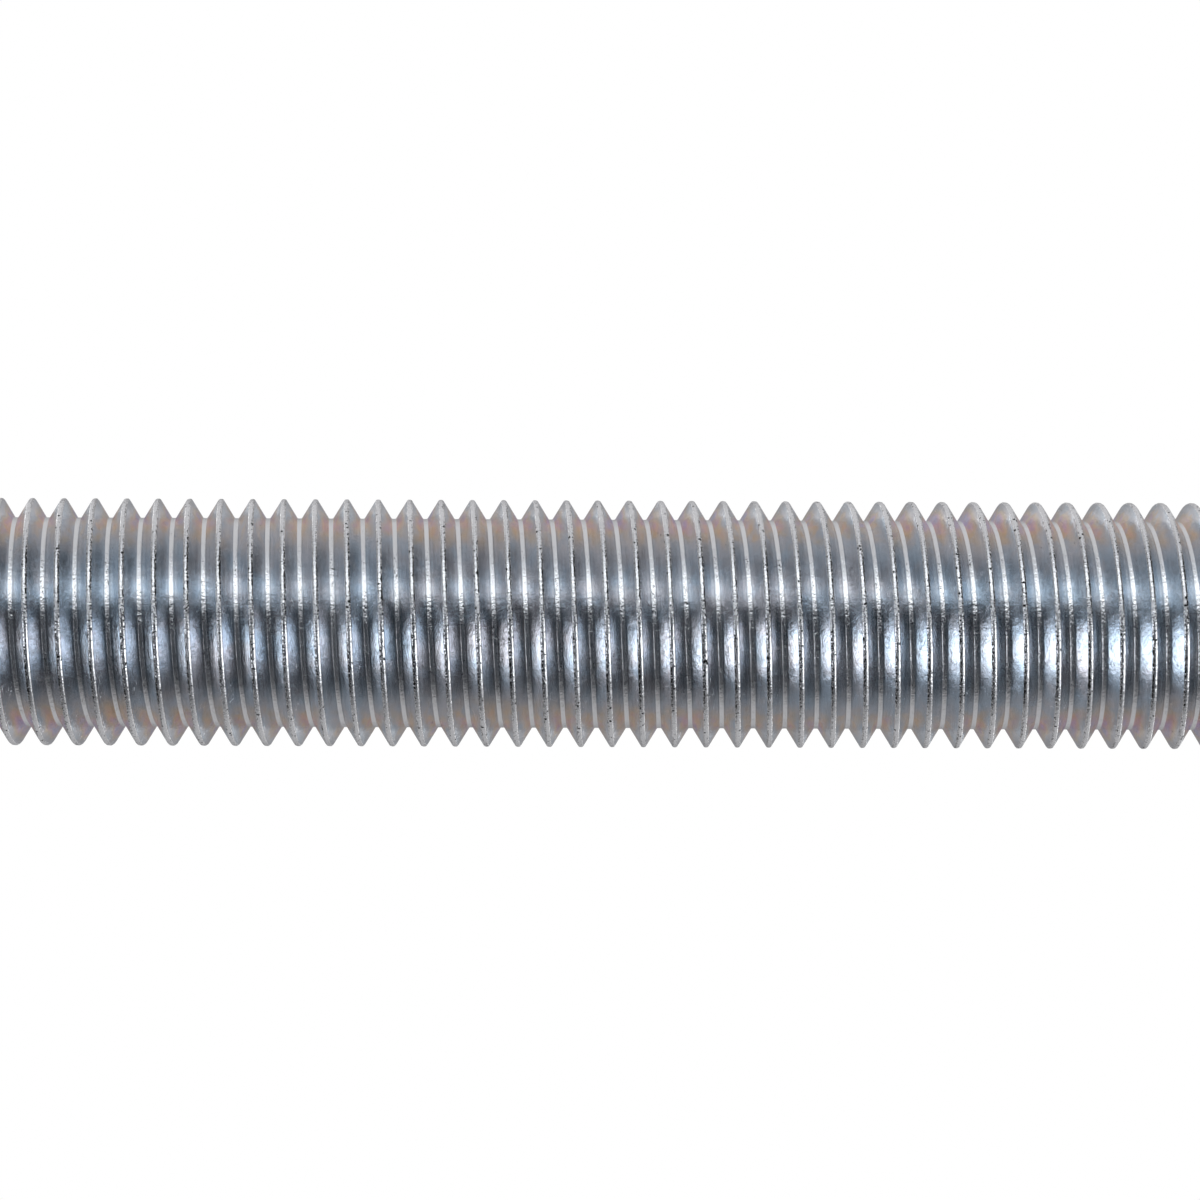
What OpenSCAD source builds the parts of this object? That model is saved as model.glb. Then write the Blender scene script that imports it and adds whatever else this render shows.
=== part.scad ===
// Threaded rod: a plain steel bar with one right-hand 60 degree thread along
// its whole length and a chamfer at each end. It stands on its lower end,
// with the axis on Z and the origin at the middle of the lower end face.

/* [Bar] */
// Length from end face to end face
rod_length = 150; // [60:5:190]
// Diameter over the thread crests
crest_d = 19.7; // [14:0.1:28]
// Angle between the end chamfer and the end face
chamfer_angle = 45; // [30:5:60]
// Distance from the thread root in to the edge of the end face
chamfer_inset = 0.4; // [0.2:0.1:1]

/* [Thread] */
// Distance from one crest to the next along the axis
pitch = 2.5; // [2:0.25:3.5]
// Angle between the two flanks of the groove
flank_angle = 60; // [55:1:65]
// Width of the flat on top of the crest
crest_flat = 0.32; // [0.24:0.02:0.6]
// Width of the flat at the bottom of the groove
root_flat = 0.4; // [0.2:0.05:0.8]

/* [Facets] */
// Straight steps that make up one turn of the groove
steps_per_turn = 20; // [18:1:24]

/* [Hidden] */

// How far a flank moves along the axis for each unit of depth
flank_run = tan(flank_angle / 2);
thread_depth = (pitch - crest_flat - root_flat) / 2 / flank_run;

crest_r = crest_d / 2;
root_r = crest_r - thread_depth;
end_r = root_r - chamfer_inset;
chamfer_h = (crest_r - end_r) * tan(chamfer_angle);

// The groove's straight steps have to clear the crests at their middles, and
// its neighbouring turns have to stay apart outside the crests. It opens out
// to the radius half way between those two limits.
step_sag = crest_r * (1 / cos(180 / steps_per_turn) - 1);
turns_meet = crest_flat / 2 / flank_run;
outer_r = crest_r + (step_sag + turns_meet) / 2;
outer_width = pitch - crest_flat + 2 * (outer_r - crest_r) * flank_run;

// The groove starts and ends a whole turn outside the bar
groove_turns = ceil(rod_length / pitch) + 2;
groove_steps = groove_turns * steps_per_turn;

// Corners of the groove's section as [radius, height], anticlockwise
groove_section = [
    [root_r, -root_flat / 2],
    [outer_r, -outer_width / 2],
    [outer_r, outer_width / 2],
    [root_r, root_flat / 2]
];
corners = len(groove_section);

// A corner of the section after it has been carried some steps up the helix
function on_helix(corner, step) =
    let (angle = 360 * step / steps_per_turn)
    [
        corner[0] * cos(angle),
        corner[0] * sin(angle),
        corner[1] + pitch * (step / steps_per_turn - 1)
    ];

// Bar over the crests, with an end face and a chamfer at each end
module bar() {
    rotate_extrude($fn = 96)
        polygon([
            [0, 0],
            [end_r, 0],
            [crest_r, chamfer_h],
            [crest_r, rod_length - chamfer_h],
            [end_r, rod_length],
            [0, rod_length]
        ]);
}

// Helical groove as one closed solid, carried up step by step
module groove() {
    points = [
        for (step = [0 : groove_steps], corner = groove_section)
            on_helix(corner, step)
    ];
    sides = [
        for (step = [0 : groove_steps - 1], i = [0 : corners - 1])
            let (
                a = step * corners + i,
                b = step * corners + (i + 1) % corners
            )
            each [[a, b, b + corners], [a, b + corners, a + corners]]
    ];
    last = groove_steps * corners;
    caps = [
        [for (i = [corners - 1 : -1 : 0]) i],
        [for (i = [0 : corners - 1]) last + i]
    ];
    polyhedron(points = points, faces = concat(sides, caps));
}

module threaded_rod() {
    color("silver")
        difference() {
            bar();
            groove();
        }
}

threaded_rod();
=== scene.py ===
"""Dresses the threaded rod: a zinc-plated steel bar with one right-hand thread.

The rod stands on its lower end, with its axis on Z. The camera looks at the
middle of it from the side, rolled so that the rod lies across the picture with
+Z to the right and -X up, and both ends lie outside the picture.
"""

import logging
import math
from dataclasses import dataclass
from enum import Enum
from typing import Any

import bpy
import numpy as np
from mathutils import Matrix, Vector


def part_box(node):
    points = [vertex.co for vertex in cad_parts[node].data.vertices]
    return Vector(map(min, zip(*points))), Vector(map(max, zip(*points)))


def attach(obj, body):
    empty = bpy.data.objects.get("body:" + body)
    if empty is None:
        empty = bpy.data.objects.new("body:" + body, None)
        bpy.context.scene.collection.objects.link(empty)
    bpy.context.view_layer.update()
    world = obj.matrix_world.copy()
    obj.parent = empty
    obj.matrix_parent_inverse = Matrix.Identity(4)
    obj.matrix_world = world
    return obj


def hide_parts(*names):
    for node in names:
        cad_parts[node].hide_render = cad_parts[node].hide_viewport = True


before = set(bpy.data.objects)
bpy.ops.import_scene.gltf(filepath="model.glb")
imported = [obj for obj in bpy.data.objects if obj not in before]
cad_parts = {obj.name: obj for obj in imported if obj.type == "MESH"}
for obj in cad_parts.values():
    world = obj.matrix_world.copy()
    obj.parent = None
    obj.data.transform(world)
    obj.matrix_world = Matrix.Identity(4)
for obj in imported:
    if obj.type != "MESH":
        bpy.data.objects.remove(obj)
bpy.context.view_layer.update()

MM = 0.001
NODE = "threaded_rod"
BODY = "root"

# With this setting, a Map Range node eases from 0 at its start to 1 at its end.
SMOOTH = {"interpolation_type": "SMOOTHSTEP"}

# What feeds a node's input: a socket, or a node for its first output.
Source = bpy.types.Node | bpy.types.NodeSocket

log = logging.getLogger("threaded_rod")


class Kind(Enum):
    """The kinds of shader node in use, by Blender's names for them."""

    COORDINATES = "ShaderNodeTexCoord"
    ATTRIBUTE = "ShaderNodeAttribute"
    SPLIT = "ShaderNodeSeparateXYZ"
    MATH = "ShaderNodeMath"
    VECTOR = "ShaderNodeVectorMath"
    RANGE = "ShaderNodeMapRange"
    NOISE = "ShaderNodeTexNoise"
    CELLS = "ShaderNodeTexVoronoi"
    RAMP = "ShaderNodeValToRGB"
    MIX = "ShaderNodeMix"
    BUMP = "ShaderNodeBump"
    LIGHT_PATH = "ShaderNodeLightPath"
    BACKGROUND = "ShaderNodeBackground"
    MIX_SHADER = "ShaderNodeMixShader"
    WORLD_OUTPUT = "ShaderNodeOutputWorld"


def linear(hex_colour: str) -> tuple[float, float, float, float]:
    """Turns an sRGB hex colour into the linear colour that Blender works in.

    Args:
        hex_colour: six hex digits after a hash sign, such as "#9aa4ae".

    Returns:
        Linear red, green, blue and an alpha of 1.
    """
    parts = [int(hex_colour[i : i + 2], 16) / 255 for i in (1, 3, 5)]
    lin = [c / 12.92 if c <= 0.04045 else ((c + 0.055) / 1.055) ** 2.4 for c in parts]
    return (lin[0], lin[1], lin[2], 1.0)


def link(tree: bpy.types.NodeTree, source: Source, target: bpy.types.NodeSocket) -> None:
    """Links a socket, or a node's first output, to an input."""
    start = source.outputs[0] if isinstance(source, bpy.types.Node) else source
    tree.links.new(start, target)


def add_node(
    tree: bpy.types.NodeTree,
    kind: Kind,
    settings: dict[str | int, Any],
    links: dict[str | int, Source],
) -> bpy.types.Node:
    """Adds a shader node, sets it up and links its inputs.

    Args:
        tree: the tree that gets the node.
        kind: the node's kind.
        settings: attribute names, or input names or numbers, with values.
        links: input names or numbers with what feeds them.

    Returns:
        The new node.
    """
    node = tree.nodes.new(kind.value)
    for key, value in settings.items():
        if isinstance(key, str) and hasattr(node, key):
            setattr(node, key, value)
        else:
            node.inputs[key].default_value = value
    for key, source in links.items():
        link(tree, source, node.inputs[key])
    return node


def add_up(
    tree: bpy.types.NodeTree, base: Source, terms: list[tuple[Source, float]]
) -> Source:
    """Adds values to a base, each of them times its own factor.

    Args:
        tree: the tree that gets the nodes.
        base: the value to start from.
        terms: the values, each with its factor.

    Returns:
        The sum.
    """
    total = base
    for value, factor in terms:
        settings = {"operation": "MULTIPLY_ADD", 1: factor}
        total = add_node(tree, Kind.MATH, settings, {0: value, 2: total})
    return total


class Tint(Enum):
    """The plate's colours on the flanks, each with the value where it is pure."""

    BLUE = ("#c3ccd4", 0.38)
    PLAIN = ("#cccccf", 0.62)
    STRAW = ("#dbcab6", 0.78)
    ROSE = ("#d8bfc8", 0.88)
    VIOLET = ("#c2bdd8", 0.96)

    def __init__(self, colour: str, place: float) -> None:
        """Keeps a tint's colour and its place.

        Args:
            colour: the colour in sRGB.
            place: the value on the scale of tints where the colour is pure.
        """
        self.colour = colour
        self.place = place


@dataclass(frozen=True)
class Patches:
    """How the tints are spread over the flanks.

    Attributes:
        drift: how much they change slowly along the rod.
        middle: what is taken off for that, so that the change goes both ways.
        most: the highest value away from the two warm sides, still plain.
        warmth: what is added at those sides, deep in the groove, so that the
        straw, rose and violet tints there are painted iridescent sheen: those
        are the sides that the camera sees at a grazing angle.
        deep: distances from the crest between which that sets in, in mm.
        span: sums of streak and grain that count as darkest and as palest.
        shade: how bright the tint is at those two.
    """

    drift: float = 0.5
    middle: float = 0.26
    most: float = 0.61
    warmth: float = 0.4
    deep: tuple[float, float] = (0.2, 0.9)
    span: tuple[float, float] = (0.7, 1.3)
    shade: tuple[float, float] = (0.86, 1.06)


# The dark grains are painted shade in the crevices of the crests' torn seam and painted dark
# reflection where the rod's front mirrors the dark surroundings; the grain's relief is real.
@dataclass(frozen=True)
class Tears:
    """The dark grains along the torn edge of a crest.

    Attributes:
        edge: distances from the crest's middle at which its torn edge starts,
            is at its worst, starts to fade and ends, in mm.
        runs: share of the noise that makes the grains come in runs.
        on_crest: what is added on the whole crest.
        on_root: what is added on the roots.
        on_edge: what is added on the torn edge.
        bright_sides: what is added where the coat is thick, so that few are there.
        dark: sums of all that at which a grain starts and is fully dark.
    """

    edge: tuple[float, float, float, float] = (0.03, 0.09, 0.19, 0.25)
    runs: float = 0.4
    on_crest: float = 0.1
    on_root: float = 0.12
    on_edge: float = 0.33
    # bright_sides: what is added at the two sides that mirror the bright     surroundings, so that little painted shade is there.
    bright_sides: float = -0.2
    dark: tuple[float, float] = (1.0, 1.05)


@dataclass(frozen=True)
class Pits:
    """The small pits, with distances in shares of the pits' spacing.

    Attributes:
        rim: distances from a pit's middle at which it starts and is full.
        ragged: how far the rim wanders.
        patchy: how much larger the pits are in some areas.
        on_crest: how much larger they are on the crests.
    """

    rim: tuple[float, float] = (0.115, 0.075)
    ragged: float = 0.45
    patchy: float = 0.3
    on_crest: float = 0.13


@dataclass(frozen=True)
class Hairlines:
    """The hairlines, which follow the middle value of a slow noise.

    Attributes:
        middle: that middle value.
        line: distances from it at which a line starts and is full.
        area: values of a second noise at which the lines set in and are full.
    """

    middle: float = 0.5
    line: tuple[float, float] = (0.035, 0.01)
    area: tuple[float, float] = (0.51, 0.57)


@dataclass(frozen=True)
class Gloss:
    """How rough the plate is.

    Attributes:
        flank: in the glossiest and in the dullest streaks.
        streak_span: values of the streaks that count as those two.
        torn: what is added on a crest in the hollows and on the tops of its
            grain.
        grain_span: values of the grain that count as those two.
        crest: what is added all over the crests.
        end: what is added on the end faces.
        pit: what is added in the pits.
    """

    flank: tuple[float, float] = (0.135, 0.255)
    streak_span: tuple[float, float] = (0.3, 0.7)
    torn: tuple[float, float] = (0.12, -0.05)
    grain_span: tuple[float, float] = (0.35, 0.65)
    crest: float = 0.03
    end: float = 0.22
    pit: float = 0.4


@dataclass(frozen=True)
class Widths:
    """How wide the plate's patterns are, in mm.

    Attributes:
        grain: the plate's own grain.
        streak: lines left by the rolling, across the thread.
        streak_length: the same lines, along the thread.
        hairline: the curls that the hairlines form.
        hairline_area: areas with hairlines.
        shaded_tear: torn grains, painted dark as shade.
        tear_run: runs of torn grains.
        pit_spacing: from one pit to the next.
        pit_rim: bays in a pit's rim.
        pit_area: areas with larger pits.
        patch: patches of one tint.
        drift: the slow change of tint along the rod.
        wrinkle: small wrinkles.
        dent: shallow dents.
        ring: rings on the end faces.
    """

    grain: float = 0.2
    streak: float = 0.3
    streak_length: float = 5.0
    hairline: float = 1.3
    hairline_area: float = 1.7
    shaded_tear: float = 0.09
    tear_run: float = 3.0
    pit_spacing: float = 0.55
    pit_rim: float = 0.12
    pit_area: float = 2.6
    patch: float = 2.4
    drift: float = 14.0
    wrinkle: float = 0.35
    dent: float = 0.8
    ring: float = 0.3


@dataclass(frozen=True)
class Heights:
    """How high the plate's patterns stand, in mm, below 0 for what is cut in.

    Attributes:
        grain: the grain on the flanks.
        crest_grain: what the torn grain of the crests adds to it.
        root_grain: what the grain of the roots adds to it.
        wrinkle: small wrinkles.
        dent: shallow dents.
        streak: lines left by the rolling.
        hairline: hairlines.
        pit: pits.
        ring: rings on the end faces.
    """

    grain: float = 0.009
    crest_grain: float = 0.028
    root_grain: float = 0.03
    wrinkle: float = 0.02
    dent: float = 0.02
    streak: float = 0.0016
    hairline: float = -0.009
    pit: float = -0.04
    ring: float = 0.01


@dataclass(frozen=True)
class Zones:
    """Where a point lies on the rod, as values in its material's nodes.

    Attributes:
        tree: the material's nodes.
        place: the point, in mm.
        across: its distance from the crest's middle along the axis, in mm.
        crest: 1 on the crests.
        root: 1 on the roots.
        end: 1 on the end faces.
        sheen: 1 at the two sides of the rod where the straw, rose and violet
        tints are painted as iridescent sheen, the sides seen at a grazing angle.
        bright_sides: 1 at the two sides of the rod that mirror the bright
            surroundings, where fewer dark grains are painted.
        torn: 1 on the side of a crest that is torn, whose grains are painted dark
            as shade; it swaps sides with the sign of X.
    """

    tree: bpy.types.NodeTree
    place: Source
    across: Source
    crest: Source
    root: Source
    end: Source
    sheen: Source
    bright_sides: Source
    torn: Source


@dataclass(frozen=True)
class ZincPlate:
    """Bright zinc, plated over a rolled steel thread and passivated blue.

    It gives the eye a satin mirror with a blue cast, patches of straw, rose
    and violet at two sides of the rod, painted there as iridescent sheen where
    the plate is seen at a grazing angle, fine streaks round the helix, a torn
    and glinting grain on the crests whose dark grains are painted shade, and
    small dark pits.

    Attributes:
        crest_half: half of a crest's width with its edges, in mm.
        root_start: where the root starts, in mm from the crest.
        soft: half of the width over which crest, flank and root meet, in mm.
        end_reach: distances from an end's plane at which the end face starts
            and is full, in mm.
        sheen_sides: shares of the radius along X at which the straw, rose and
        violet tints set in and are full, painted as iridescent sheen at the two
        sides seen at a grazing angle.
        bright_side_shares: the same for the two sides that mirror the bright
            surroundings, where fewer dark grains are painted.
        shaded_torn_side: the same for the torn side of a crest, where a point's
            distance past the crest times its X falls below 0, so that it swaps
            sides across the axis; its grains are painted dark as shade.
        line_colour: of the crests and roots, which touch the rolling die.
        shade_and_pit_colour: near black, painted as shade and dark reflection in
        the torn grains, and the colour of the pits.
        end_colour: of the cut end faces.
        end_metal: how metallic those look, since their dull coat scatters light.
        patches: how the tints are spread.
        tears: the dark torn grains.
        pits: the pits.
        hairlines: the hairlines.
        gloss: how rough it is.
        widths: of the patterns.
        heights: of the relief.
    """

    crest_half: float = 0.22
    root_start: float = 1.08
    soft: float = 0.03
    end_reach: tuple[float, float] = (0.003, 0.001)
    sheen_sides: tuple[float, float] = (0.56, 0.92)
    bright_side_shares: tuple[float, float] = (0.47, 0.72)
    shaded_torn_side: tuple[float, float] = (0.03, -0.04)
    line_colour: str = "#d8d9da"
    shade_and_pit_colour: str = "#222120"
    end_colour: str = "#aaadb1"
    end_metal: float = 0.35
    patches: Patches = Patches()
    tears: Tears = Tears()
    pits: Pits = Pits()
    hairlines: Hairlines = Hairlines()
    gloss: Gloss = Gloss()
    widths: Widths = Widths()
    heights: Heights = Heights()

    def material(self, radius: float, length: float) -> bpy.types.Material:
        """Makes the node material.

        Args:
            radius: the rod's radius over the crests, in mm.
            length: the rod's length, in mm.

        Returns:
            The material.
        """
        mat = bpy.data.materials.new("zinc_plate")
        mat.use_nodes = True
        tree = mat.node_tree
        zones = self.zones(tree, radius, length)
        streak, grain = self.streak(zones), self.grain(zones)
        pit, shaded_tear = self.pit(zones), self.shaded_tear(zones)

        line = {0: zones.crest, 1: zones.root}
        colour = self.tint(zones, streak, grain)
        # Over the tints go the crests' and roots' colour, the end faces' colour, near black as
        # painted shade and dark reflection on the torn grains, and the same near black in the pits.
        for over, mask in (
            (self.line_colour, add_node(tree, Kind.MATH, {"operation": "MAXIMUM"}, line)),
            (self.end_colour, zones.end),
            (self.shade_and_pit_colour, shaded_tear),
            (self.shade_and_pit_colour, pit),
        ):
            settings = {"data_type": "RGBA", 7: linear(over)}
            colour = add_node(tree, Kind.MIX, settings, {0: mask, 6: colour}).outputs[2]

        settings = {"operation": "MULTIPLY_ADD", 1: self.end_metal - 1, 2: 1.0}
        metal = add_node(tree, Kind.MATH, settings, {0: zones.end})
        shader = tree.nodes["Principled BSDF"]
        link(tree, colour, shader.inputs["Base Color"])
        link(tree, metal, shader.inputs["Metallic"])
        link(tree, self.roughness(zones, streak, grain, pit), shader.inputs["Roughness"])
        link(tree, self.relief(zones, streak, grain, pit), shader.inputs["Normal"])
        return mat

    def zones(self, tree: bpy.types.NodeTree, radius: float, length: float) -> Zones:
        """Works out where a point lies, from its place and its mesh's attributes.

        Each mask goes smoothly from 0 at one value to 1 at another, which may
        be the smaller one.

        Args:
            tree: the material's nodes.
            radius: the rod's radius over the crests, in mm.
            length: the rod's length, in mm.

        Returns:
            The values.
        """
        coordinates = add_node(tree, Kind.COORDINATES, {}, {}).outputs["Object"]
        settings = {"operation": "SCALE", "Scale": 1 / MM}
        place = add_node(tree, Kind.VECTOR, settings, {0: coordinates})
        across, past = (
            add_node(tree, Kind.ATTRIBUTE, {"attribute_name": name}, {}).outputs["Fac"]
            for name in ("from_crest", "off_crest")
        )
        split = add_node(tree, Kind.SPLIT, {}, {0: place}).outputs
        side = add_node(tree, Kind.MATH, {"operation": "ABSOLUTE"}, {0: split["X"]})
        settings = {"operation": "SUBTRACT", 1: length / 2}
        off_middle = add_node(tree, Kind.MATH, settings, {0: split["Z"]})
        far = add_node(tree, Kind.MATH, {"operation": "ABSOLUTE"}, {0: off_middle})
        twist = add_node(tree, Kind.MATH, {"operation": "MULTIPLY"}, {0: past, 1: split["X"]})

        edge, start, soft = self.crest_half, self.root_start, self.soft
        reach = [length / 2 - distance for distance in self.end_reach]
        masks = {
            "crest": (across, (edge + soft, edge - soft)),
            "root": (across, (start - soft, start + soft)),
            "end": (far, reach),
            # sheen: the two sides seen at a grazing angle, where tints are painted as iridescent
            # sheen.
            "sheen": (side, [radius * share for share in self.sheen_sides]),
            # bright_sides and torn steer where dark grains are painted as shade.
            "bright_sides": (side, [radius * share for share in self.bright_side_shares]),
            "torn": (twist, [radius * share for share in self.shaded_torn_side]),
        }
        made = {
            name: add_node(tree, Kind.RANGE, {**SMOOTH, 1: ends[0], 2: ends[1]}, {0: value})
            for name, (value, ends) in masks.items()
        }
        return Zones(tree, place, across, **made)

    def streak(self, zones: Zones) -> Source:
        """Makes fine lines left by the rolling, which run round the helix.

        The noise's fourth dimension is the distance from the crest. It is
        stretched, so that the noise changes over a streak's width across the
        thread and over a streak's length along it.

        Args:
            zones: where the point lies.

        Returns:
            Values from 0 to 1 about a middle of 0.5.
        """
        stretch = self.widths.streak_length / self.widths.streak
        settings = {"operation": "MULTIPLY", 1: stretch}
        fourth = add_node(zones.tree, Kind.MATH, settings, {0: zones.across})
        return add_node(
            zones.tree,
            Kind.NOISE,
            {"noise_dimensions": "4D", "Scale": 1 / self.widths.streak_length, "Detail": 1.0},
            {"Vector": zones.place, "W": fourth},
        )

    def grain(self, zones: Zones) -> Source:
        """Makes the plate's own grain, with values about a middle of 0.5."""
        settings = {"Scale": 1 / self.widths.grain, "Detail": 3.0, "Roughness": 0.65}
        return add_node(zones.tree, Kind.NOISE, settings, {"Vector": zones.place})

    def hairline(self, zones: Zones) -> Source:
        """Makes hairlines where a slow noise crosses its middle value.

        A second noise keeps them to some areas.

        Args:
            zones: where the point lies.

        Returns:
            A mask that is 1 inside.
        """
        tree, place, lines = zones.tree, {"Vector": zones.place}, self.hairlines
        settings = {"Scale": 1 / self.widths.hairline, "Detail": 2.0, "Distortion": 1.6}
        curls = add_node(tree, Kind.NOISE, settings, place)
        off = add_node(tree, Kind.MATH, {"operation": "SUBTRACT", 1: lines.middle}, {0: curls})
        far = add_node(tree, Kind.MATH, {"operation": "ABSOLUTE"}, {0: off})
        line = add_node(
            tree, Kind.RANGE, {**SMOOTH, 1: lines.line[0], 2: lines.line[1]}, {0: far}
        )
        settings = {"Scale": 1 / self.widths.hairline_area, "Detail": 1.0}
        areas = add_node(tree, Kind.NOISE, settings, place)
        area = add_node(
            tree, Kind.RANGE, {**SMOOTH, 1: lines.area[0], 2: lines.area[1]}, {0: areas}
        )
        return add_node(tree, Kind.MATH, {"operation": "MULTIPLY"}, {0: line, 1: area})

    def shaded_tear(self, zones: Zones) -> Source:
        """Makes the dark grains along the torn edges of the crests.

        A fine noise is dark where it passes a limit together with what is
        added to it. Most is added on the torn edge of a crest, and a second
        noise, which changes along the helix, makes the grains come in runs.
        The dark is painted shade in the seam's crevices and painted dark
        reflection across the rod's front, and less is added at the two sides
        that mirror the bright surroundings.

        Args:
            zones: where the point lies.

        Returns:
            A mask that is 1 inside.
        """
        tree, tears, widths = zones.tree, self.tears, self.widths
        place = {"Vector": zones.place}
        settings = {"Scale": 1 / widths.shaded_tear, "Detail": 0.0, "Distortion": 0.3}
        grains = add_node(tree, Kind.NOISE, settings, place)
        settings = {"Scale": 1 / widths.tear_run, "Detail": 1.0}
        runs = add_node(tree, Kind.NOISE, settings, place)

        start, worst, fade, end = tears.edge
        across = {0: zones.across}
        rise = add_node(tree, Kind.RANGE, {**SMOOTH, 1: start, 2: worst}, across)
        on_crest = add_node(tree, Kind.RANGE, {**SMOOTH, 1: end, 2: fade}, across)
        on_edge = zones.torn
        for mask in (rise, on_crest):
            settings = {"operation": "MULTIPLY"}
            on_edge = add_node(tree, Kind.MATH, settings, {0: on_edge, 1: mask})
        # Painted shade: most on the crest's torn edge, less at the two bright sides.
        level = add_up(
            tree,
            grains,
            [
                (runs, tears.runs),
                (on_crest, tears.on_crest),
                (zones.root, tears.on_root),
                (on_edge, tears.on_edge),
                (zones.bright_sides, tears.bright_sides),
            ],
        )
        return add_node(
            tree, Kind.RANGE, {**SMOOTH, 1: tears.dark[0], 2: tears.dark[1]}, {0: level}
        )

    def pit(self, zones: Zones) -> Source:
        """Makes pits in the plate, 0.1 to 0.3 mm across.

        They lie within a small distance of random points. A fine noise makes
        their rims ragged, and they are larger in some areas and on the crests,
        so that most of them are there.

        Args:
            zones: where the point lies.

        Returns:
            A mask that is 1 inside.
        """
        tree, pits, widths = zones.tree, self.pits, self.widths
        place = {"Vector": zones.place}
        cells = add_node(tree, Kind.CELLS, {"Scale": 1 / widths.pit_spacing}, place)
        settings = {"Scale": 1 / widths.pit_rim, "Detail": 2.0}
        bays = add_node(tree, Kind.NOISE, settings, place)
        settings = {"Scale": 1 / widths.pit_area, "Detail": 1.0}
        areas = add_node(tree, Kind.NOISE, settings, place)
        distance = add_up(
            tree,
            cells.outputs["Distance"],
            [(bays, pits.ragged), (areas, -pits.patchy), (zones.crest, -pits.on_crest)],
        )
        return add_node(
            tree, Kind.RANGE, {**SMOOTH, 1: pits.rim[0], 2: pits.rim[1]}, {0: distance}
        )

    def tint(self, zones: Zones, streak: Source, grain: Source) -> Source:
        """Picks the flanks' colour from the scale of tints.

        A noise gives patches from blue to plain, and a slow one moves them
        along the scale as they go along the rod. Straw, rose and violet come
        only at the two sheen sides, where the value is raised deep in the
        groove: the tints are the plate's own, but placing them at the two sides
        that the camera sees at a grazing angle paints them as iridescent sheen.
        Streaks and grain darken the colour a little.

        Args:
            zones: where the point lies.
            streak: the rolling lines.
            grain: the plate's grain.

        Returns:
            The colour.
        """
        tree, patches, widths = zones.tree, self.patches, self.widths
        place = {"Vector": zones.place}
        settings = {"Scale": 1 / widths.patch, "Detail": 4.0, "Roughness": 0.6}
        spots = add_node(tree, Kind.NOISE, {**settings, "Distortion": 0.4}, place)
        slow = add_node(tree, Kind.NOISE, {"Scale": 1 / widths.drift, "Detail": 1.0}, place)
        settings = {"operation": "MULTIPLY_ADD", 1: patches.drift, 2: -patches.middle}
        drift = add_node(tree, Kind.MATH, settings, {0: slow})
        moved = add_up(tree, spots, [(drift, 1.0)])
        cool = add_node(tree, Kind.MATH, {"operation": "MINIMUM", 1: patches.most}, {0: moved})

        # Painted iridescent sheen: straw, rose and violet only at the two sides seen at a grazing
        # angle, deep in the groove.
        start, full = patches.deep
        deep = add_node(tree, Kind.RANGE, {**SMOOTH, 1: start, 2: full}, {0: zones.across})
        links = {0: deep, 1: zones.sheen}
        sheen = add_node(tree, Kind.MATH, {"operation": "MULTIPLY"}, links)
        value = add_up(tree, cool, [(sheen, patches.warmth)])
        ramp = add_node(tree, Kind.RAMP, {}, {0: value})
        elements = ramp.color_ramp.elements
        for _ in list(Tint)[2:]:
            elements.new(0.5)
        for element, tint in zip(elements, Tint):
            element.position = tint.place
            element.color = linear(tint.colour)

        both = add_up(tree, grain, [(streak, 1.0)])
        settings = dict(zip((1, 2, 3, 4), (*patches.span, *patches.shade)))
        shade = add_node(tree, Kind.RANGE, settings, {0: both})
        return add_node(tree, Kind.VECTOR, {"operation": "SCALE"}, {0: ramp, "Scale": shade})

    def roughness(self, zones: Zones, streak: Source, grain: Source, pit: Source) -> Source:
        """Makes it satin, with glossier and duller streaks, and dull pits and ends.

        Args:
            zones: where the point lies.
            streak: the rolling lines.
            grain: the plate's grain.
            pit: 1 in the pits.

        Returns:
            The roughness.
        """
        tree, gloss = zones.tree, self.gloss
        settings = dict(zip((1, 2, 3, 4), (*gloss.streak_span, *gloss.flank)))
        flank = add_node(tree, Kind.RANGE, settings, {0: streak})
        settings = dict(zip((1, 2, 3, 4), (*gloss.grain_span, *gloss.torn)))
        torn = add_node(tree, Kind.RANGE, settings, {0: grain})
        links = {0: torn, 1: zones.crest}
        on_crest = add_node(tree, Kind.MATH, {"operation": "MULTIPLY"}, links)
        return add_up(
            tree,
            flank,
            [(on_crest, 1.0), (zones.crest, gloss.crest), (zones.end, gloss.end), (pit, gloss.pit)],
        )

    def relief(self, zones: Zones, streak: Source, grain: Source, pit: Source) -> Source:
        """Adds up the heights in mm and turns them into a bump.

        Args:
            zones: where the point lies.
            streak: the rolling lines.
            grain: the plate's grain.
            pit: 1 in the pits.

        Returns:
            The bumped normal.
        """
        tree, heights, widths = zones.tree, self.heights, self.widths
        place = {"Vector": zones.place}
        settings = {"Scale": 1 / widths.wrinkle, "Detail": 2.0, "Distortion": 1.2}
        wrinkles = add_node(tree, Kind.NOISE, settings, place)
        dents = add_node(tree, Kind.NOISE, {"Scale": 1 / widths.dent, "Detail": 2.0}, place)
        settings = {"operation": "MULTIPLY_ADD", 1: heights.root_grain, 2: heights.grain}
        smooth_grain = add_node(tree, Kind.MATH, settings, {0: zones.root})
        tall = add_up(tree, smooth_grain, [(zones.crest, heights.crest_grain)])
        grained = add_node(tree, Kind.MATH, {"operation": "MULTIPLY"}, {0: grain, 1: tall})
        height = add_up(
            tree,
            grained,
            [
                (dents, heights.dent),
                (wrinkles, heights.wrinkle),
                (streak, heights.streak),
                (self.hairline(zones), heights.hairline),
                (pit, heights.pit),
                (self.ring(zones), heights.ring),
            ],
        )
        return add_node(tree, Kind.BUMP, {"Distance": MM}, {"Height": height})

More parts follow.
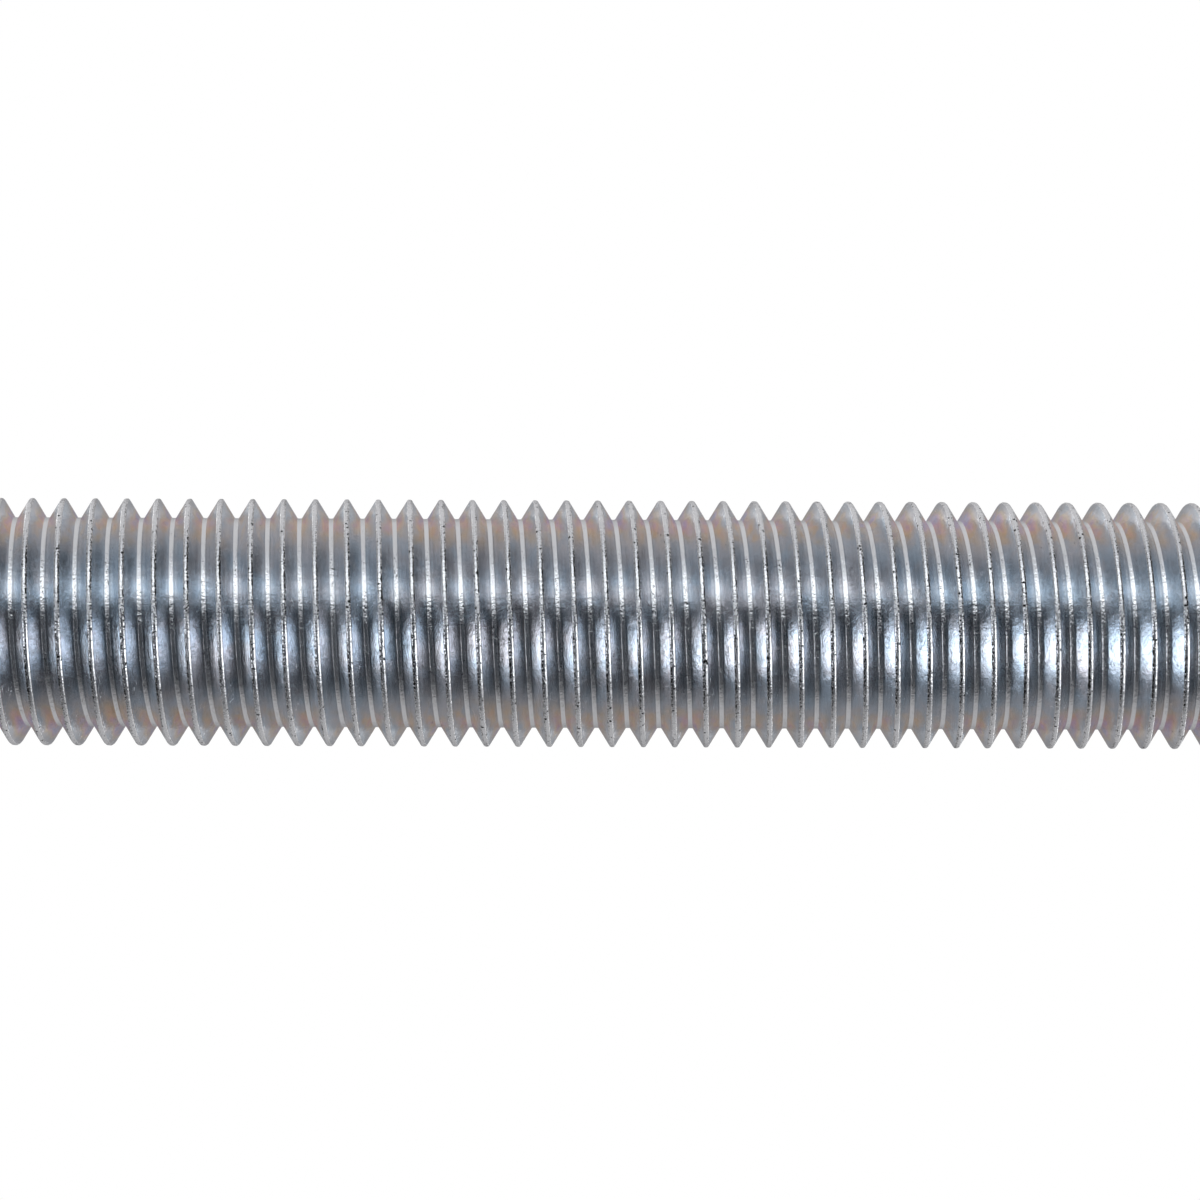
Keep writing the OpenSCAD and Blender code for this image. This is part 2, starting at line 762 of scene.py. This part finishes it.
    def ring(self, zones: Zones) -> Source:
        """Makes rings about the axis, as a facing tool leaves them on the ends.

        The noise changes only with the distance from the axis.

        Args:
            zones: where the point lies.

        Returns:
            Values from 0 to 1 on the end faces, and 0 elsewhere.
        """
        tree = zones.tree
        settings = {"operation": "MULTIPLY", 1: (1.0, 1.0, 0.0)}
        flat = add_node(tree, Kind.VECTOR, settings, {0: zones.place})
        radius = add_node(tree, Kind.VECTOR, {"operation": "LENGTH"}, {0: flat})
        settings = {"noise_dimensions": "1D", "Scale": 1 / self.widths.ring, "Detail": 2.0}
        rings = add_node(tree, Kind.NOISE, settings, {"W": radius.outputs["Value"]})
        links = {0: rings, 1: zones.end}
        return add_node(tree, Kind.MATH, {"operation": "MULTIPLY"}, links)


@dataclass(frozen=True)
class ThreadForm:
    """The thread's section, with every length in mm.

    Attributes:
        pitch: from one crest to the next along the axis.
        depth: of the groove, from the crest to the root.
        flank_angle: between the two flanks of the groove, in degrees. On this
            rolled thread it opens a little wider than the basic 60 degrees.
        crest_flat: width of the crest's flat before its edges are rounded.
        crest_edge: radius of the crest's two edges.
        root_edge: radius of the root's two inner corners.
        edge_points: points along each of the crest's edges.
        corner_points: points along each of the root's corners.
        flank_points: shares of a flank at which it has points of its own,
            near its ends, so that the arcs' shading stays on the arcs.
        chamfer_inset: from the thread root in to the edge of the end face.
        chamfer_angle: between the end chamfer and the end face, in degrees.
    """

    pitch: float = 2.5
    depth: float = 1.535
    flank_angle: float = 63.0
    crest_flat: float = 0.29
    crest_edge: float = 0.19
    root_edge: float = 0.1
    edge_points: int = 5
    corner_points: int = 4
    flank_points: tuple[float, float] = (0.08, 0.92)
    chamfer_inset: float = 0.4
    chamfer_angle: float = 45.0

    @property
    def half_angle(self) -> float:
        """Half of the flank angle, in radians."""
        return math.radians(self.flank_angle / 2)

    @property
    def root_flat(self) -> float:
        """Width that the two flanks leave for a flat root."""
        return self.pitch - self.crest_flat - 2 * self.depth * math.tan(self.half_angle)

    def half_section(self) -> np.ndarray:
        """Works out the section from a crest's middle to the next root's.

        A flank's normal leans by 90 degrees less half the flank angle. The
        crest's flat ends in an arc that turns by that lean, a straight flank
        goes down, and the root's arc turns back by the same lean.

        Returns:
            Rows of [distance along the axis, depth below the crest].
        """
        lean = math.pi / 2 - self.half_angle
        flat_end = self.crest_flat / 2 - self.crest_edge * math.tan(lean / 2)
        turn = np.linspace(0, lean, self.edge_points)
        along = flat_end + self.crest_edge * np.sin(turn)
        edge = np.stack([along, self.crest_edge * (1 - np.cos(turn))], -1)

        root_end = self.root_flat / 2 - self.root_edge * math.tan(lean / 2)
        turn = np.linspace(lean, 0, self.corner_points)
        along = self.pitch / 2 - root_end - self.root_edge * np.sin(turn)
        down = self.depth - self.root_edge * (1 - np.cos(turn))
        corner = np.stack([along, down], -1)

        share = np.array(self.flank_points)[:, None]
        flank = edge[-1] * (1 - share) + corner[0] * share
        ends = np.array([[0.0, 0.0], [self.pitch / 2, self.depth]])
        return np.vstack([ends[:1], edge, flank, corner, ends[1:]])

    def section(self) -> np.ndarray:
        """Mirrors the half section about the crest, without the second root.

        Returns:
            Rows of [distance from the crest's middle, depth below the crest],
            from just after one root's middle to the next root's middle.
        """
        half = self.half_section()
        left = half[:0:-1] * [-1, 1]
        return np.vstack([left[1:], half])


@dataclass(frozen=True)
class Rod:
    """The rod, with its surface as one closed mesh.

    Attributes:
        length: from end face to end face, in mm.
        crest_r: radius over the crests, in mm.
        form: the thread's section.
        finish: what it is plated with.
        steps: straight steps that make up one turn.
        lead: turns by which the helix starts below the lower end.
        sharp: bend in degrees from which an edge is drawn sharp.
    """

    length: float
    crest_r: float
    form: ThreadForm = ThreadForm()
    finish: ZincPlate = ZincPlate()
    steps: int = 60
    lead: float = 1.5
    sharp: float = 38.0

    @property
    def end_r(self) -> float:
        """Radius of the end faces."""
        return self.crest_r - self.form.depth - self.form.chamfer_inset

    def chamfer_radius(self, z: np.ndarray) -> np.ndarray:
        """Works out the radius of the nearer end's chamfer cone.

        It is the end face's radius plus the distance from that end over the
        tangent of the chamfer's angle.

        Args:
            z: heights, in mm.

        Returns:
            The radius at each height, in mm.
        """
        from_end = np.minimum(z, self.length - z)
        return self.end_r + from_end / math.tan(math.radians(self.form.chamfer_angle))

    def build(self, name: str) -> bpy.types.Object:
        """Makes the surface.

        A point of the section is carried up the helix. Its angle is its step's
        share of a turn, and its height is its step's share of the pitch plus
        its distance along the axis, less the lead. The height is held between
        the two end faces, and the radius is the smaller of the section's and
        the chamfer cone's. The last point of one turn's section joins the
        first point of the next turn's. Points beyond an end face fall together
        on its rim, and a fan closes the face.

        Args:
            name: the object's name.

        Returns:
            The new object, linked to the scene.
        """
        section = self.form.section()
        columns, steps = len(section), self.steps
        turns = math.ceil(self.length / self.form.pitch) + math.ceil(2 * self.lead)
        rows = turns * steps + 1

        step = np.arange(rows)[:, None]
        angle = 2 * math.pi * step / steps
        free_z = self.form.pitch * (step / steps - self.lead) + section[None, :, 0]
        z = np.clip(free_z, 0, self.length)
        r = np.minimum(self.crest_r - section[None, :, 1], self.chamfer_radius(z))
        points = np.stack([r * np.cos(angle), r * np.sin(angle), z], -1).reshape(-1, 3)
        offset = np.broadcast_to(section[None, :, 0], r.shape).reshape(-1)

        first_rim = len(points)
        which_step = np.broadcast_to(step % steps, r.shape)
        index = np.arange(first_rim).reshape(rows, columns)
        index = np.where(free_z <= 0, first_rim + which_step, index)
        index = np.where(free_z >= self.length, first_rim + steps + which_step, index)

        triangles = np.vstack([self.join(index, first_rim + steps), self.end_faces(first_rim)])
        middles = np.array([[0, 0, 0], [0, 0, self.length]], float)
        points = np.vstack([points, self.rim_points(), middles])
        # The rims and the end faces count as the middle of a flank.
        end_offset = np.full(len(points) - first_rim, self.form.pitch / 4)
        offset = np.concatenate([offset, end_offset])

        used, renumbered = np.unique(triangles, return_inverse=True)
        return self.to_object(name, points[used], renumbered.reshape(-1, 3), offset[used])

    def rim_points(self) -> np.ndarray:
        """Places points on a circle round each end face.

        Returns:
            Rows of X, Y and Z, for the lower and then the upper rim.
        """
        angle = 2 * math.pi * np.arange(self.steps) / self.steps
        ring = self.end_r * np.stack([np.cos(angle), np.sin(angle), 0 * angle], -1)
        return np.vstack([ring, ring + [0, 0, self.length]])

    def join(self, index: np.ndarray, upper_rim: int) -> np.ndarray:
        """Joins a grid of point numbers into triangles that face outwards.

        The column after the last one is the first column one turn further on,
        and past the last turn it is the upper rim's point of the same step.

        Args:
            index: point numbers, a row for each step and a column for each
                point of the section.
            upper_rim: number of the upper rim's first point.

        Returns:
            Triangles, without those that have shrunk to a line or a point.
        """
        last = np.arange(len(index) - self.steps, len(index))[:, None]
        beyond = np.vstack([index[self.steps :, :1], upper_rim + last % self.steps])
        grid = np.hstack([index, beyond])
        a, b = grid[:-1, :-1], grid[1:, :-1]
        c, d = grid[1:, 1:], grid[:-1, 1:]
        halves = [np.stack(corners, -1).reshape(-1, 3) for corners in ((a, b, c), (a, c, d))]
        triangles = np.vstack(halves)
        p, q, r = triangles.T
        return triangles[(p != q) & (q != r) & (r != p)]

    def end_faces(self, first_rim: int) -> np.ndarray:
        """Closes each end face with a fan from its middle point.

        Args:
            first_rim: number of the lower rim's first point. The upper rim's
                points come after the lower one's, and then the two middles.

        Returns:
            Triangles that face outwards.
        """
        step = np.arange(self.steps)
        after = (step + 1) % self.steps
        low, high = first_rim, first_rim + self.steps
        middle = np.full(self.steps, first_rim + 2 * self.steps)
        lower = np.stack([middle, low + after, low + step], -1)
        upper = np.stack([middle + 1, high + step, high + after], -1)
        return np.vstack([lower, upper])

    def to_object(
        self,
        name: str,
        points: np.ndarray,
        triangles: np.ndarray,
        offset: np.ndarray,
    ) -> bpy.types.Object:
        """Puts the arrays into a mesh, smooth but for its sharp edges.

        Args:
            name: the object's name.
            points: points in mm.
            triangles: three point numbers for each triangle.
            offset: each point's place past its crest along the axis, in mm.
                The mesh keeps it and its size for the finish to read.

        Returns:
            The new object, linked to the scene.
        """
        mesh = bpy.data.meshes.new(name)
        mesh.vertices.add(len(points))
        mesh.vertices.foreach_set("co", (points * MM).astype(np.float32).ravel())
        mesh.loops.add(triangles.size)
        mesh.loops.foreach_set("vertex_index", triangles.astype(np.int32).ravel())
        mesh.polygons.add(len(triangles))
        starts = np.arange(0, triangles.size, 3, dtype=np.int32)
        mesh.polygons.foreach_set("loop_start", starts)
        mesh.update(calc_edges=True)
        mesh.validate()
        for kept_name, values in (("off_crest", offset), ("from_crest", np.abs(offset))):
            kept = mesh.attributes.new(kept_name, "FLOAT", "POINT")
            kept.data.foreach_set("value", values.astype(np.float32))
        mesh.shade_smooth()
        mesh.set_sharp_from_angle(angle=math.radians(self.sharp))
        piece = bpy.data.objects.new(name, mesh)
        bpy.context.scene.collection.objects.link(piece)
        return piece

    def dress(self, piece: bpy.types.Object) -> None:
        """Gives the surface its finish, and says what it stands for.

        Args:
            piece: the rod's surface.
        """
        piece.data.materials.append(self.finish.material(self.crest_r, self.length))
        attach(piece, BODY)
        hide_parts(NODE)
        log.info("%s: %d triangles", piece.name, len(piece.data.polygons))


@dataclass(frozen=True)
class Softbox:
    """One soft lamp, placed by the directions in which the rod sees it.

    Attributes:
        name: the lamp's name.
        up: its middle's angle from the camera towards the picture's top, in
            degrees, measured round the rod.
        along: its middle's angle towards the picture's right, in degrees.
        half_up: half of its height, in degrees.
        half_along: half of its width, in degrees.
        brightness: how bright it looks, where 1 is white.
        colour: its colour in sRGB.
        distance: from the rod's middle, in metres.
    """

    name: str
    up: float
    along: float
    half_up: float
    half_along: float
    brightness: float
    colour: str = "#ffffff"
    distance: float = 0.6

    def add(self, middle: Vector) -> bpy.types.Object:
        """Adds the lamp, facing the rod's middle.

        The angles turn into a direction in which X is the picture's downward
        way, Y goes away from the camera and Z is the picture's right. A lamp
        looks as bright as its power over pi times its area.

        Args:
            middle: the rod's middle, in metres.

        Returns:
            The lamp.
        """
        up, along = math.radians(self.up), math.radians(self.along)
        round_rod = Vector((-math.sin(up), -math.cos(up), 0))
        axis = Vector((0, 0, 1))
        away = round_rod * math.cos(along) + axis * math.sin(along)
        across = axis * math.cos(along) - round_rod * math.sin(along)
        data = bpy.data.lights.new(self.name, "AREA")
        data.shape = "ELLIPSE"
        data.size = 2 * self.distance * math.tan(math.radians(self.half_along))
        data.size_y = 2 * self.distance * math.tan(math.radians(self.half_up))
        area = math.pi / 4 * data.size * data.size_y
        data.energy = self.brightness * math.pi * area
        data.color = linear(self.colour)[:3]
        lamp = bpy.data.objects.new(self.name, data)
        axes = Matrix((across, away.cross(across), away)).transposed()
        lamp.matrix_world = Matrix.Translation(middle + away * self.distance) @ axes.to_4x4()
        lamp.visible_camera = False
        bpy.context.scene.collection.objects.link(lamp)
        return lamp


@dataclass(frozen=True)
class Surroundings:
    """What the rod mirrors besides the lamps.

    A pair of numbers gives two places along an axis, for a direction of
    length 1, between which something changes smoothly.

    Attributes:
        dark: how bright the side behind the camera is, where 1 is white.
        bright_above: how bright the other side is towards the picture's top.
        bright_below: how bright it is towards the picture's bottom.
        behind_share: share of that which is left straight behind the rod.
        front_colour: the cast of the dark side.
        back_colour: the cast of the bright side.
        edge: along Y, from the dark to the bright side.
        lean: how far that edge leans, so that the dark side is wider to the
            picture's left.
        top: along X, from dark to bright straight above.
        level: along X, from the brightness above to that below.
        behind: along Y, from full brightness to the share straight behind.
        cast: along Y, from the front colour to the back colour.
    """

    dark: float = 0.09
    bright_above: float = 0.78
    bright_below: float = 0.56
    behind_share: float = 0.5
    front_colour: str = "#dbe5f6"
    back_colour: str = "#fdfcff"
    edge: tuple[float, float] = (-0.38, 0.32)
    lean: float = 0.28
    top: tuple[float, float] = (-0.75, -1.0)
    level: tuple[float, float] = (-0.4, 0.4)
    behind: tuple[float, float] = (0.8, 1.0)
    cast: tuple[float, float] = (-0.7, 0.1)

    def world(self) -> bpy.types.World:
        """Makes the world and gives it to the scene.

        What the rod mirrors is dark behind the camera, bright beside and above
        the rod, and half as bright straight behind it. Everything else sees
        plain white.

        Returns:
            The world.
        """
        world = bpy.data.worlds.new("studio")
        world.use_nodes = True
        tree = world.node_tree
        tree.nodes.clear()
        direction = add_node(tree, Kind.COORDINATES, {}, {}).outputs["Generated"]
        x, y, z = add_node(tree, Kind.SPLIT, {}, {0: direction}).outputs
        leaned = add_up(tree, y, [(z, self.lean)])
        above, side, level, behind, cast = (
            add_node(tree, Kind.RANGE, {**SMOOTH, 1: start, 2: end, 3: low, 4: high}, {0: axis})
            for axis, (start, end), low, high in (
                (x, self.top, 0.0, 1.0),
                (leaned, self.edge, 0.0, 1.0),
                (x, self.level, self.bright_above, self.bright_below),
                (y, self.behind, 1.0, self.behind_share),
                (y, self.cast, 0.0, 1.0),
            )
        )
        share = add_node(tree, Kind.MATH, {"operation": "MAXIMUM"}, {0: above, 1: side})
        settings = {"data_type": "FLOAT", 2: self.dark}
        either = add_node(tree, Kind.MIX, settings, {0: share, 3: level})
        lit = add_node(tree, Kind.MATH, {"operation": "MULTIPLY"}, {0: either, 1: behind})
        front, back = linear(self.front_colour), linear(self.back_colour)
        settings = {"data_type": "RGBA", 6: front, 7: back}
        colour = add_node(tree, Kind.MIX, settings, {0: cast}).outputs[2]
        links = {"Color": colour, "Strength": lit}
        mirrored = add_node(tree, Kind.BACKGROUND, {}, links)

        plain = add_node(tree, Kind.BACKGROUND, {"Color": (1, 1, 1, 1)}, {})
        glossy = add_node(tree, Kind.LIGHT_PATH, {}, {}).outputs["Is Glossy Ray"]
        mix = add_node(tree, Kind.MIX_SHADER, {}, {0: glossy, 1: plain, 2: mirrored})
        add_node(tree, Kind.WORLD_OUTPUT, {}, {0: mix})
        bpy.context.scene.world = world
        return world


@dataclass(frozen=True)
class Studio:
    """A white studio with a pale floor, its surroundings and soft lamps.

    Attributes:
        floor_radius: in metres.
        floor_colour: of the floor.
        floor_corners: corners of the disc.
        surroundings: what the rod mirrors besides the lamps.
        softboxes: the lamps. Those in front give the bright line and the row
            of ovals on the flanks, and those behind light the back.
    """

    floor_radius: float = 0.16
    floor_colour: str = "#f0f0f0"
    floor_corners: int = 96
    surroundings: Surroundings = Surroundings()
    softboxes: tuple[Softbox, ...] = (
        Softbox("top_front", 37, 0, 11.5, 46, 2.0, "#f6faff"),
        Softbox("top_soft", 50, 0, 20, 44, 0.6, "#f6faff"),
        Softbox("right_front", -31, 50, 17, 14, 5.8, "#fafcff"),
        Softbox("right_soft", -32, 48, 26, 21, 1.2, "#f4f7ff"),
        Softbox("left_front", -31, -56, 15, 14, 3.5, "#f0f5ff"),
        Softbox("left_soft", -34, -56, 24, 22, 0.8, "#eef3ff"),
        Softbox("right_back", -160, 50, 18, 16, 2.5),
        Softbox("left_back", 160, -50, 18, 16, 2.5),
    )

    def floor(self) -> bpy.types.Object:
        """Makes the floor, a disc of matt paper under the rod's lower end.

        It gives the eye a plain pale ground with the rod's shadow on it. The
        rod doesn't mirror it, and it holds back no light.

        Returns:
            The floor.
        """
        angle = 2 * math.pi * np.arange(self.floor_corners) / self.floor_corners
        ring = np.stack([np.cos(angle), np.sin(angle), 0 * angle], -1) * self.floor_radius
        mesh = bpy.data.meshes.new("floor")
        mesh.from_pydata(ring.tolist(), [], [list(range(self.floor_corners))])
        mat = bpy.data.materials.new("matt_paper")
        mat.use_nodes = True
        shader = mat.node_tree.nodes["Principled BSDF"]
        shader.inputs["Base Color"].default_value = linear(self.floor_colour)
        shader.inputs["Roughness"].default_value = 1.0
        mesh.materials.append(mat)
        floor = bpy.data.objects.new("floor", mesh)
        floor.visible_glossy = False
        floor.visible_shadow = False
        bpy.context.scene.collection.objects.link(floor)
        return floor

    def build(self, middle: Vector) -> None:
        """Adds the world, the floor and the lamps.

        Args:
            middle: the rod's middle, in metres.
        """
        self.surroundings.world()
        self.floor()
        for softbox in self.softboxes:
            softbox.add(middle)
        log.info("studio: a floor and %d lamps", len(self.softboxes))


@dataclass(frozen=True)
class Camera:
    """The camera, fitted to the crests' tips in the photograph.

    Attributes:
        picture: width of the picture, in pixels.
        focal: focal length, in pixels of that picture.
        distance: from the rod's axis, in pitches.
        along: the camera's place along the fit's own axis, in pitches.
        yaw, pitch, roll: small turns of the camera, in radians.
        crest_phase: where a crest meets the rod's upper edge in the picture,
            along the fit's own axis, in pitches.
    """

    picture: float = 1200.0
    focal: float = 3940.8
    distance: float = 125.9
    along: float = -1.549
    yaw: float = 0.01715
    pitch: float = -0.00604
    roll: float = 0.00388
    crest_phase: float = 2.518

    def add(self, form: ThreadForm, length: float) -> bpy.types.Object:
        """Adds the camera and makes it the scene's own.

        In the fit's own axes, X runs along the rod to the picture's right, Y
        away from the camera and Z up the picture. The rod's frame has them as
        Z, Y and minus X, and its crests meet the picture's upper edge of the
        rod at whole pitches.

        Args:
            form: the thread's section, for its pitch in mm.
            length: the rod's length, in mm.

        Returns:
            The camera object.
        """
        turned = Matrix.Rotation(self.pitch, 3, "X") @ Matrix.Rotation(self.yaw, 3, "Z")
        right, ahead, up = (Vector(turned[i]) for i in range(3))
        c, s = math.cos(self.roll), math.sin(self.roll)
        right, up = right * c + up * s, up * c - right * s
        to_rod = Matrix(((0, 0, -1), (0, 1, 0), (1, 0, 0)))
        axes = Matrix((to_rod @ right, to_rod @ up, to_rod @ -ahead)).transposed()

        whole = math.floor(length / 2 / form.pitch)
        along = whole + (1 - self.crest_phase % 1) + self.along
        place = Vector((0, -self.distance, along)) * form.pitch * MM
        data = bpy.data.cameras.new("camera")
        data.sensor_width = 36.0
        data.lens = self.focal / self.picture * data.sensor_width
        data.clip_start = 0.01
        camera = bpy.data.objects.new("camera", data)
        camera.matrix_world = Matrix.Translation(place) @ axes.to_4x4()
        bpy.context.scene.collection.objects.link(camera)
        bpy.context.scene.camera = camera
        return camera


def main() -> None:
    """Builds and dresses the rod, then the studio and the camera."""
    logging.basicConfig(level=logging.INFO, format="%(name)s: %(message)s")
    low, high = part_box(NODE)
    crest_r = (high.x - low.x) / 2 / MM
    length = (high.z - low.z) / MM

    rod = Rod(length, crest_r)
    rod.dress(rod.build("rod_surface"))
    Studio().build(Vector((0, 0, length / 2 * MM)))
    Camera().add(rod.form, length)
    bpy.context.scene.view_settings.view_transform = "Standard"


if __name__ == "__main__":
    main()
